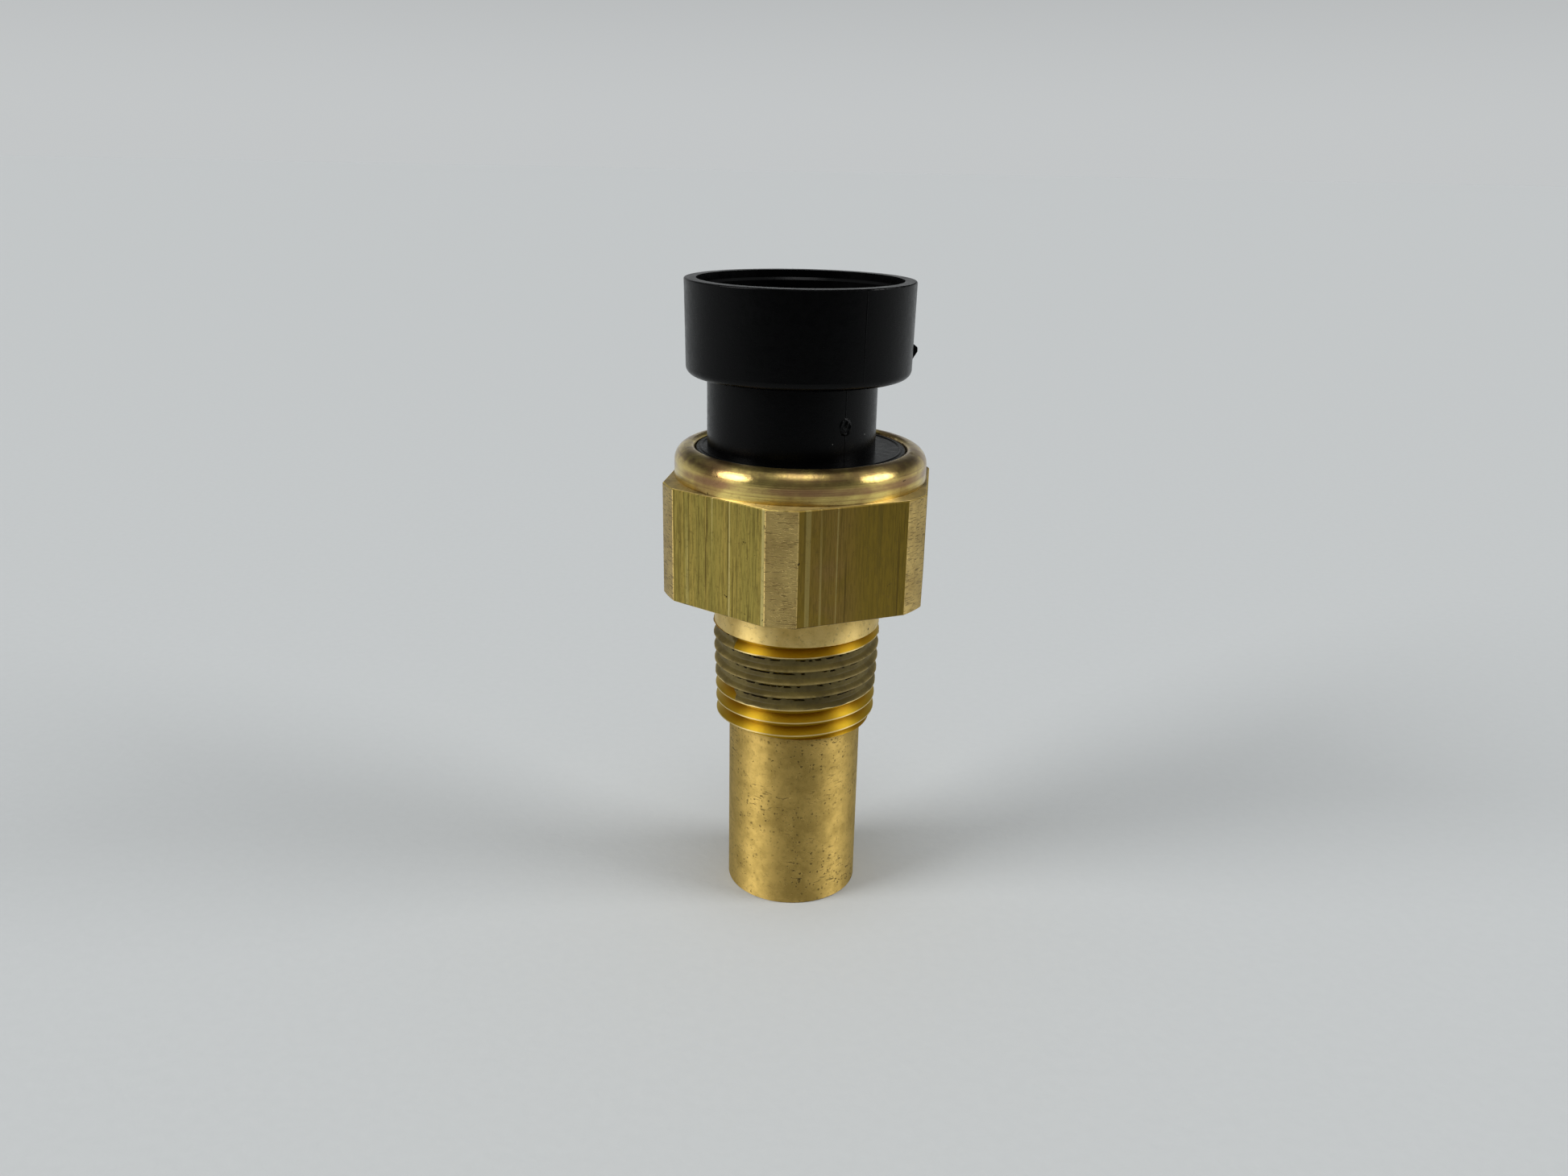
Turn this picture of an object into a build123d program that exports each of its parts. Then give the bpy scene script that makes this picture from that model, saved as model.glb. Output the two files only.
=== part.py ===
"""Screw-in pressure switch: brass body with a tapered pipe thread and a moulded plug socket.

Frame: millimetres. The origin is the centre of the snout's flat end, where the pressure
enters. +Z runs up the axis, through the thread and the hexagon, to the rim of the socket.
One corner of the hexagon points along -Y. Every node is written to parts/NODE.step.
"""
from build123d import *
from math import atan, degrees, radians, tan
import os

# ---------------------------------------------------------------- brass body, outside
snout_length = 19.4
snout_diameter = 13.8
snout_edge_break = 0.15
thread_pitch = 25.4 / 18            # 3/8-18 NPT
thread_taper = 1 / 32               # growth in radius for each millimetre of height
thread_length = 10.4
thread_small_diameter = 16.5        # over the crests at the lower end
thread_depth = 0.744 * thread_pitch  # the pipe thread's form, with its crests a little worn
thread_crest_flat = 0.10
thread_start_drop = 0.22            # sets where round the snout the thread starts
thread_lead_chamfer = 0.5
ridge_sink = 0.12                   # the swept ridge starts this far inside the root cone
sealant_first_turn = 3              # counted up from the small end
sealant_turns = 3.5
sealant_depth = 0.3
sealant_gap = 0.03
neck_diameter = 17.0
neck_length = 4.0
hex_across_flats = 25.4
hex_corner_height = 1.2             # the turned-down corners stand this far above the flats
hex_height = 11.3
hex_edge_break = 0.12
collar_setback = 0.25               # the collar's side lies this far inside the flats
collar_wall = 0.95
collar_roll_radius = 1.5            # outside bend of the rolled-over lip
lip_reach = 2.0                     # from the collar's side in to the lip's edge
lip_thickness = 0.75

# ---------------------------------------------------------------- pressure side
port_bore_diameter = 4.0
filter_step = 0.9                   # the filter's seat is this much wider, all round
filter_length = 3.0
floor_rise = 2.0                    # from the hexagon's underside to the chamber's floor
chamber_depth = 1.2
seal_ring_section = 1.1
seal_groove_margin = 0.45           # room each side of the squeezed ring
seal_inner_land = 0.6               # between the pressure chamber and the seal's groove
seal_outer_land = 1.2               # between the groove and the stack's edge
film_thickness = 0.12
stack_step = 2.0                    # the bore for the stacked pieces is narrower by this
stack_clearance = 0.10              # radial room of the stacked pieces in the body

# ---------------------------------------------------------------- piston, disc and pin
switch_travel = 0.4
running_fit = 0.05                  # radial clearance of a piece that slides
piston_head_height = 0.9
piston_head_gap = 0.3               # radial room round the head
piston_edge_gap = 0.6               # the head stays this far inside the chamber's edge
piston_stem_diameter = 6.0
guide_ring_height = 3.25
guide_stop_gap = 0.15               # left above the head at full travel
rest_gap = 0.05                     # between pieces that push each other in line
spacer_wall = 1.6                   # of the ring round the snap disc
disc_thickness = 0.25
disc_dish = 0.35
disc_side_gap = 0.2
pin_diameter = 2.5
pin_guide_height = 3.2
pin_guide_recess = 0.8
disc_land_width = 0.8               # ring of the pin guide that holds the disc's rim

# ---------------------------------------------------------------- connector housing
housing_clearance = 0.10            # radial room of the flange in the collar
flange_rim_height = 3.1             # the part of the flange under the lip
flange_step = 0.5                   # the flange's centre stands this far above its rim
housing_seal_section = 1.0
lip_gap = 1.2                       # between the lip and the neck, at its narrowest
plug_neck_length = 7.15
plug_neck_offset = -0.95            # along X: the moulding's neck stands off the axis
socket_offset = -0.38               # along X: so do the socket and its blades
shroud_diameter = 22.1
shroud_draft = 0.15                 # the shroud's radius is this much less at its bottom
shroud_wall = 1.15
shroud_height = 9.0
shroud_edge_radius = 0.8
shroud_floor = 1.4
socket_lead_in = 0.25
socket_lead_depth = 1.0
plug_neck_wall = 1.1                # at its thinnest
chamber_side_room = 0.4             # between a terminal's leg and the contact chamber's wall
chamber_headroom = 0.2              # above the arm's rivet
septum_thickness = 2.0
nub_width = 2.4                     # the lock nub on the shroud's side
nub_height = 1.6
nub_rise = 1.5                      # above the shroud's underside
nub_proud = 0.4
nub_sink = 0.5                      # the nub's root lies this far inside the wall
nub_draft_reach = 0.1
nub_azimuth = 14                    # degrees from +X towards +Y
potting_thickness = 0.8

# ---------------------------------------------------------------- terminals and contacts
blade_thickness = 0.8
blade_width = 2.8
blade_spacing = 6.4
blade_length = 8.3                  # above the socket's floor
blade_tip = 0.25
leg_cover = 0.75                    # plastic outside a leg, on the neck's near side
septum_cover = 0.5                  # plastic under the part of a terminal that it holds
foot_gap = 0.4                      # under the fixed terminal's foot
contact_diameter = 2.4
contact_height = 0.4
contact_shank_diameter = 1.2
contact_setback = 2.4               # from a leg's outside to the contact pair's centre
arm_thickness = 0.2
arm_width = 3.6
arm_overhang = 1.1
common_foot_length = 3.1            # from the leg's outside to the foot's inner edge
rivet_setback = 1.7                 # from the leg's outside to the rivet's centre
rivet_shank_diameter = 1.0
rivet_head_diameter = 1.8
rivet_head_height = 0.35

# ---------------------------------------------------------------- sizes across the axis
hex_turned_diameter = hex_across_flats + 2 * hex_corner_height
collar_diameter = hex_across_flats - 2 * collar_setback
lip_opening_diameter = collar_diameter - 2 * lip_reach
collar_bore = collar_diameter / 2 - collar_wall
flange_radius = collar_bore - housing_clearance
stack_bore = collar_bore - stack_step
stack_diameter = 2 * (stack_bore - stack_clearance)
disc_diameter = stack_diameter - 2 * (spacer_wall + disc_side_gap)
filter_diameter = port_bore_diameter + 2 * filter_step
groove_width = seal_ring_section + 2 * seal_groove_margin
seal_ring_diameter = stack_diameter - groove_width - 2 * seal_outer_land
chamber_diameter = seal_ring_diameter - groove_width - 2 * seal_inner_land
piston_head_diameter = chamber_diameter - 2 * piston_edge_gap
plug_neck_diameter = lip_opening_diameter - 2 * (lip_gap + abs(plug_neck_offset))
lower_room_radius = (
    plug_neck_diameter / 2 - plug_neck_wall - abs(plug_neck_offset - socket_offset)
)
leg_outer = plug_neck_diameter / 2 - abs(plug_neck_offset) - leg_cover
leg_inner = leg_outer - blade_thickness
contact_chamber_diameter = 2 * (leg_outer + chamber_side_room)
contact_offset = leg_outer - contact_setback
common_foot_reach = leg_outer - common_foot_length
rivet_offset = leg_outer - rivet_setback

# ---------------------------------------------------------------- heights up the axis
thread_top = snout_length + thread_length
hex_bottom = thread_top + neck_length
hex_top = hex_bottom + hex_height
floor_height = hex_bottom + floor_rise
seat_height = floor_height + chamber_depth            # where the films are clamped
guide_bottom = seat_height + 2 * film_thickness
guide_top = guide_bottom + guide_ring_height
disc_edge = guide_top + rest_gap + disc_dish          # underside of the disc's rim
pin_guide_bottom = disc_edge + disc_thickness
pin_guide_top = pin_guide_bottom + pin_guide_height
flange_bottom = pin_guide_top
lip_under = flange_bottom + flange_rim_height
lip_top = lip_under + lip_thickness
flange_top = lip_under + flange_step
shroud_bottom = flange_top + plug_neck_length
rim_height = shroud_bottom + shroud_height
fixed_foot_bottom = flange_bottom + foot_gap
fixed_foot_top = fixed_foot_bottom + blade_thickness
arm_bottom = fixed_foot_top + 2 * contact_height + rest_gap
arm_top = arm_bottom + arm_thickness
septum_bottom = arm_top + blade_thickness + rivet_head_height + chamber_headroom
held_bottom = septum_bottom + septum_cover
socket_floor = septum_bottom + septum_thickness
blade_top = socket_floor + blade_length


def turned(points):
    """Turn an outline of (radius, height) points, with an optional corner radius, about Z."""
    face = Polygon(*[point[:2] for point in points], align=None)
    for point in points:
        if len(point) == 3:
            corner = face.vertices().sort_by_distance((point[0], point[1], 0))[0]
            face = fillet(corner, point[2])
    return revolve(Plane.XZ * face, Axis.Z)


def disc(diameter, bottom, top):
    """A plain round disc or pin on the axis."""
    return Pos(0, 0, bottom) * extrude(Circle(diameter / 2), top - bottom)


def ring(outer, inner, bottom, top):
    """A plain round ring on the axis, from its two diameters."""
    return Pos(0, 0, bottom) * extrude(Circle(outer / 2) - Circle(inner / 2), top - bottom)


def seal_ring(centre_diameter, section, height):
    """A round-section seal ring."""
    return Pos(0, 0, height) * Torus(centre_diameter / 2, section / 2)


def bar(x_from, x_to, width, bottom, top):
    """A rectangular length of strip, centred on the XZ plane."""
    centre = Pos((x_from + x_to) / 2, 0, (bottom + top) / 2)
    return centre * Box(abs(x_to - x_from), width, top - bottom)


def stud(x, diameter, bottom, top):
    """A round stud that stands at a distance x from the axis."""
    return Pos(x, 0, 0) * disc(diameter, bottom, top)


def ridge_half_width(rise):
    """Half the width of the thread's ridge at a height above its sunk base."""
    return 0.49 * thread_pitch - rise * tan(radians(30))


def root_radius(height):
    """The thread's root cone."""
    return thread_small_diameter / 2 - thread_depth + (height - snout_length) * thread_taper


def wind(section, start, turns, radius):
    """Sweep a (radius, height) section up the thread's taper from a start height."""
    path = Helix(
        thread_pitch,
        turns * thread_pitch,
        radius,
        center=(0, 0, start),
        cone_angle=degrees(atan(thread_taper)),
    )
    return sweep(Plane.XZ * Polygon(*section, align=None), path=path, is_frenet=True)


def make_thread():
    """The root cone with its wound ridge, cut flat at both ends and chamfered at the small one."""
    start = snout_length - 2 * thread_pitch - thread_start_drop
    turns = thread_length / thread_pitch + 3.2
    low, high = start - thread_pitch, start + (turns + 1) * thread_pitch
    inner = root_radius(start) - ridge_sink
    rise = thread_depth + ridge_sink
    base = ridge_half_width(0)
    crest = max(thread_crest_flat / 2, ridge_half_width(rise))
    ridge = wind(
        [
            (inner, start - base),
            (inner + rise, start - crest),
            (inner + rise, start + crest),
            (inner, start + base),
        ],
        start, turns, inner,
    )
    cone = turned([(0, low), (root_radius(low), low), (root_radius(high), high), (0, high)])
    thread = (cone + ridge) & disc(4 * thread_small_diameter, snout_length, thread_top)
    chamfer_start = thread_small_diameter / 2 - thread_lead_chamfer
    below, reach = 0.2, 3
    return thread - turned([
        (chamfer_start - below, snout_length - below),
        (chamfer_start + reach, snout_length - below),
        (chamfer_start + reach, snout_length + reach),
    ])


def make_brass_body():
    """Snout, thread, neck, hexagon and rolled collar, bored out for the working parts."""
    snout = turned([
        (0, 0),
        (snout_diameter / 2, 0, snout_edge_break),
        (snout_diameter / 2, snout_length),
        (0, snout_length),
    ])
    thread = make_thread()
    neck = turned([
        (0, thread_top),
        (neck_diameter / 2, thread_top, snout_edge_break),
        (neck_diameter / 2, hex_bottom),
        (0, hex_bottom),
    ])
    prism = extrude(
        Rot(0, 0, 30) * RegularPolygon(hex_across_flats / 2, 6, major_radius=False), hex_height
    )
    hexagon = (Pos(0, 0, hex_bottom) * prism) & disc(hex_turned_diameter, hex_bottom, hex_top)
    ends = hexagon.faces().sort_by(Axis.Z)
    hexagon = chamfer(ends[0].edges() + ends[-1].edges(), hex_edge_break)
    collar = turned([
        (collar_bore - 0.5, hex_top - 0.5),
        (collar_diameter / 2, hex_top - 0.5),
        (collar_diameter / 2, lip_top, collar_roll_radius),
        (lip_opening_diameter / 2, lip_top, lip_thickness * 0.55),
        (lip_opening_diameter / 2, lip_under, lip_thickness * 0.25),
        (collar_bore - 0.5, lip_under),
    ])
    groove_outer = seal_ring_diameter + groove_width
    groove_inner = seal_ring_diameter - groove_width
    hollows = [
        disc(port_bore_diameter, -1, floor_height),
        disc(filter_diameter, floor_height - filter_length, floor_height),
        disc(chamber_diameter, floor_height, seat_height),
        ring(groove_outer, groove_inner, seat_height - seal_ring_section, seat_height),
        disc(2 * stack_bore, seat_height, pin_guide_bottom),
        disc(2 * collar_bore, pin_guide_bottom, lip_under),
    ]
    body = snout + thread + neck + hexagon + collar
    for hollow in hollows:
        body -= hollow
    return body


def make_thread_sealant():
    """The cured sealant in the roots of the middle turns, as a strip wound down the groove."""
    start = snout_length + (sealant_first_turn - 0.5) * thread_pitch - thread_start_drop
    low = root_radius(start) + sealant_gap
    narrow = thread_pitch / 2 - ridge_half_width(ridge_sink) - sealant_gap
    wide = narrow + sealant_depth * tan(radians(30))
    return wind(
        [
            (low, start - narrow),
            (low + sealant_depth, start - wide),
            (low + sealant_depth, start + wide),
            (low, start + narrow),
        ],
        start, sealant_turns, low,
    )


def make_port_filter():
    """The sintered plug that keeps grit out and damps pressure spikes."""
    return disc(filter_diameter, floor_height - filter_length, floor_height)


def make_film(layer):
    """One of the two films that are clamped over the pressure chamber."""
    bottom = seat_height + layer * film_thickness
    return disc(stack_diameter, bottom, bottom + film_thickness)


def make_guide_ring():
    """The ring that clamps the films and guides the piston."""
    recess = piston_head_diameter + 2 * piston_head_gap
    stop = guide_bottom + piston_head_height + switch_travel + guide_stop_gap
    return (
        disc(stack_diameter, guide_bottom, guide_top)
        - disc(recess, guide_bottom, stop)
        - disc(piston_stem_diameter + 2 * running_fit, stop, guide_top)
    )


def make_piston():
    """The headed piston that turns the films' pressure into a push on the snap disc."""
    radius = piston_stem_diameter / 2
    return turned([
        (0, guide_bottom),
        (piston_head_diameter / 2, guide_bottom, 0.15),
        (piston_head_diameter / 2, guide_bottom + piston_head_height),
        (radius, guide_bottom + piston_head_height),
        (radius, guide_top, 0.2),
        (0, guide_top),
    ])


def make_disc_spacer():
    """The ring round the snap disc, which sets the room between guide ring and pin guide."""
    return ring(
        stack_diameter, disc_diameter + 2 * disc_side_gap, guide_top, pin_guide_bottom
    )


def make_snap_disc():
    """The dished spring disc; it bulges down at rest and snaps up under pressure."""
    rim = disc_diameter / 2
    centre = disc_edge - disc_dish
    underside = ThreePointArc((-rim, disc_edge), (0, centre), (rim, disc_edge))
    topside = Pos(0, disc_thickness) * underside
    sides = [Line(underside @ end, topside @ end) for end in (0, 1)]
    whole = make_face([underside, topside, *sides])
    half = whole & Pos(rim, centre) * Rectangle(2 * rim, 4 * (disc_dish + disc_thickness))
    return revolve(Plane.XZ * half, Axis.Z)


def make_pin_guide():
    """The moulded disc that backs the snap disc's rim and guides the transfer pin."""
    recess = disc_diameter - 2 * disc_land_width
    seal_pocket = 2 * (flange_radius - housing_seal_section)
    return (
        disc(2 * flange_radius, pin_guide_bottom, pin_guide_top)
        - disc(recess, pin_guide_bottom, pin_guide_bottom + pin_guide_recess)
        - disc(pin_diameter + 2 * running_fit, pin_guide_bottom, pin_guide_top)
        - ring(
            2 * flange_radius, seal_pocket, pin_guide_top - housing_seal_section, pin_guide_top
        )
    )


def make_transfer_pin():
    """The insulating pin from the snap disc to the contact arm."""
    bottom = disc_edge - disc_dish + disc_thickness + rest_gap
    top = arm_bottom - rest_gap
    radius = pin_diameter / 2
    return turned([(0, bottom), (radius, bottom, 0.2), (radius, top, 0.4), (0, top)])


def make_terminal(side, foot_bottom, foot_reach):
    """A strip terminal: blade, the run that the septum holds, leg and foot."""
    width = blade_width
    held_top = held_bottom + blade_thickness
    blade_middle = socket_offset + side * blade_spacing / 2
    inner = blade_middle - side * blade_thickness / 2
    outer = blade_middle + side * blade_thickness / 2
    blade = bar(inner, outer, width, held_bottom, blade_top)
    tip_edges = blade.faces().sort_by(Axis.Z)[-1].edges()
    blade = chamfer(tip_edges, blade_tip)
    run = bar(inner, side * leg_outer, width, held_bottom, held_top)
    leg = bar(side * leg_inner, side * leg_outer, width, foot_bottom, held_top)
    foot = bar(side * foot_reach, side * leg_outer, width, foot_bottom,
               foot_bottom + blade_thickness)
    return blade + run + leg + foot


def make_lock_nub():
    """The ramp on the shroud's side that a plug's catch snaps over."""
    wall = shroud_diameter / 2 - shroud_draft / 2
    section = Polygon(
        (-nub_sink, 0),
        (-nub_draft_reach, 0),
        (nub_proud, 0.5 * nub_height),
        (nub_proud, 0.75 * nub_height),
        (-nub_draft_reach, nub_height),
        (-nub_sink, nub_height),
        align=None,
    )
    nose = section.vertices().group_by(Axis.X)[-1]
    ramp = extrude(Plane.XZ * fillet(nose, nub_proud / 2), nub_width / 2, both=True)
    return Rot(0, 0, nub_azimuth) * Pos(wall, 0, shroud_bottom + nub_rise) * ramp


def make_connector_housing(terminals):
    """Flange, neck and round socket in one moulding, with the septum between its two rooms."""
    outer_top = shroud_diameter / 2
    outer_bottom = outer_top - shroud_draft
    flange_centre = lip_opening_diameter / 2 - housing_clearance
    flange = turned([
        (0, flange_bottom),
        (flange_radius, flange_bottom),
        (flange_radius, lip_under, 0.15),
        (flange_centre, lip_under),
        (flange_centre, flange_top, 0.15),
        (0, flange_top),
    ])
    neck = Pos(plug_neck_offset) * disc(
        plug_neck_diameter, flange_top, shroud_bottom + shroud_floor
    )
    shroud = turned([
        (0, shroud_bottom),
        (outer_bottom, shroud_bottom, shroud_edge_radius),
        (outer_top, rim_height, 0.15),
        (0, rim_height),
    ])
    inner = outer_top - shroud_wall
    land = inner - socket_lead_in
    upper_room = turned([
        (0, shroud_bottom + shroud_floor),
        (land, shroud_bottom + shroud_floor, 0.5),
        (land, rim_height - socket_lead_depth),
        (inner, rim_height - socket_lead_depth + socket_lead_in),
        (inner, rim_height + 1),
        (0, rim_height + 1),
    ])
    lower_room = disc(2 * lower_room_radius, socket_floor, rim_height)
    chamber = disc(contact_chamber_diameter, flange_bottom, septum_bottom)
    socket = Pos(socket_offset)
    housing = flange + neck + socket * (shroud + make_lock_nub())
    housing -= socket * (upper_room + lower_room)
    housing -= chamber
    for terminal in terminals:
        housing -= terminal
    return housing


def make_potting(terminals):
    """The sealing compound on the socket's floor, round the blades."""
    pool = Pos(socket_offset) * disc(
        2 * lower_room_radius, socket_floor, socket_floor + potting_thickness
    )
    for terminal in terminals:
        pool -= terminal
    return pool


def make_contact(x, seat, strip_thickness, direction):
    """A contact rivet on a strip; direction is the way that its face points up the axis."""
    face = seat + direction * contact_height
    back = seat - direction * strip_thickness
    head = stud(x, contact_diameter, min(seat, face), max(seat, face))
    shank = stud(x, contact_shank_diameter, min(seat, back), max(seat, back))
    return head + shank


def make_rivet(x, bottom, top):
    """The rivet that clamps the contact arm to the common terminal's foot."""
    return (
        stud(x, rivet_head_diameter, bottom - rivet_head_height, bottom)
        + stud(x, rivet_shank_diameter, bottom, top)
        + stud(x, rivet_head_diameter, top, top + rivet_head_height)
    )


def make_contact_arm():
    """The leaf spring that carries the moving contact."""
    leaf = bar(-contact_offset - arm_overhang, leg_inner, arm_width, arm_bottom, arm_top)
    holes = (
        stud(-contact_offset, contact_shank_diameter, arm_bottom, arm_top)
        + stud(rivet_offset, rivet_shank_diameter, arm_bottom, arm_top)
    )
    return leaf - holes


brass_body = make_brass_body()
fixed_strip = make_terminal(-1, fixed_foot_bottom, contact_offset - contact_diameter / 2)
common_strip = make_terminal(1, arm_top, common_foot_reach)
fixed_contact = make_contact(-contact_offset, fixed_foot_top, blade_thickness, 1)
moving_contact = make_contact(-contact_offset, arm_bottom, arm_thickness, -1)
arm_rivet = make_rivet(rivet_offset, arm_bottom, arm_top + blade_thickness)

nodes = {
    "brass_body": brass_body,
    "thread_sealant": make_thread_sealant(),
    "port_filter": make_port_filter(),
    "pressure_seal_ring": seal_ring(
        seal_ring_diameter, seal_ring_section, seat_height - seal_ring_section / 2
    ),
    "diaphragm": make_film(0),
    "backup_film": make_film(1),
    "guide_ring": make_guide_ring(),
    "piston": make_piston(),
    "disc_spacer_ring": make_disc_spacer(),
    "snap_disc": make_snap_disc(),
    "pin_guide": make_pin_guide(),
    "transfer_pin": make_transfer_pin(),
    "housing_seal_ring": seal_ring(
        2 * flange_radius - housing_seal_section,
        housing_seal_section,
        pin_guide_top - housing_seal_section / 2,
    ),
    "connector_housing": make_connector_housing([fixed_strip, common_strip]),
    "fixed_terminal": fixed_strip - fixed_contact,
    "common_terminal": common_strip - arm_rivet,
    "fixed_contact": fixed_contact,
    "moving_contact": moving_contact,
    "contact_arm": make_contact_arm(),
    "arm_rivet": arm_rivet,
    "terminal_potting": make_potting([fixed_strip, common_strip]),
}

os.makedirs("parts", exist_ok=True)
for name, solid in nodes.items():
    export_step(solid, f"parts/{name}.step")
    print(f"{name}: {len(solid.solids())} solid, {solid.volume:.2f} mm3")
print(f"rim height {rim_height:.2f}, hexagon {hex_bottom:.2f} to {hex_top:.2f}")
print(f"flange top {flange_top:.2f}, lip top {lip_top:.2f}, blade top {blade_top:.2f}")
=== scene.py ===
# %% [markdown]
# # A screw-in pressure switch, finished in cells
#
# The solid parts come from a finished CAD model: a brass body with a pipe thread, and a black
# moulded socket crimped into it. This lesson loads those parts, leaves every size as it is, and
# gives each surface the finish that it has on the real object. Where a CAD part is too tidy,
# such as at the dried sealant on the thread, a new piece is built in mesh code.

# %% Load the frame
import math

import bpy
from mathutils import Matrix, Vector, noise


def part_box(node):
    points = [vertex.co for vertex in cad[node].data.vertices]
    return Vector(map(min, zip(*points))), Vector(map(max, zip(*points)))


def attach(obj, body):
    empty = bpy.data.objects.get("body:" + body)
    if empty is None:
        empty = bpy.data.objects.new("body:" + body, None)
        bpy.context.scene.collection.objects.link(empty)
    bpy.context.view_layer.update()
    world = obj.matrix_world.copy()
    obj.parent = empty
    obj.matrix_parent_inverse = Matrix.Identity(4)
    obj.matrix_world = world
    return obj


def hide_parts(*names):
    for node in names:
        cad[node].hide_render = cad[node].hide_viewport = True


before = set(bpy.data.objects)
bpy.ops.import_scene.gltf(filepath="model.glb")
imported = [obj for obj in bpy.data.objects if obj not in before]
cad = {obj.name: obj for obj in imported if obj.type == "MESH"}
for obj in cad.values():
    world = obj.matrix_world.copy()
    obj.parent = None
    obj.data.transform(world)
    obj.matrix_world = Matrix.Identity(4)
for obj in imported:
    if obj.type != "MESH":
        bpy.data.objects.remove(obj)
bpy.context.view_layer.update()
print("nodes:", len(cad))

# %% [markdown]
# ## Heights up the axis
#
# The finishes change from zone to zone of one brass bar: plain snout, thread, neck, hexagon and
# rolled collar. Each zone's limits are written here once, in metres, and every material and
# piece below takes its place from them. Where a box of a CAD part gives the number, it is read.

# %% Zones of the body
MM = 0.001
body_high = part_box("brass_body")[1]
housing_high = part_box("connector_housing")[1]

snout_top = 19.4 * MM
inch = 25.4 * MM
threads_per_inch = 18
thread_pitch = inch / threads_per_inch
thread_taper = 1 / 32
thread_depth = 1.05 * MM
thread_small_radius = 8.25 * MM
thread_start_drop = 0.22 * MM
thread_top = snout_top + 10.4 * MM
hex_bottom = thread_top + 4.0 * MM
hex_top = hex_bottom + 11.3 * MM
lip_top = body_high.z
rim_top = housing_high.z
hex_corner_radius = body_high.y
plug_neck_radius = 8.3 * MM
plug_neck_x = -0.95 * MM
socket_x = -0.38 * MM
shroud_radius = 11.05 * MM
shroud_draft = 0.15 * MM
shroud_bottom = rim_top - 9.0 * MM
flange_top = shroud_bottom - 7.15 * MM
print("lip at %.1f mm, rim at %.1f mm" % (lip_top / MM, rim_top / MM))


# %% [markdown]
# ## A small kit for materials
#
# A procedural material is a chain of nodes: a coordinate goes into a noise, the noise into a
# ramp, and the ramp into the shader. Wiring that by hand takes four lines a node, so this class
# keeps the wiring short. Every finish below is still a plain Principled shader at its end.

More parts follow.
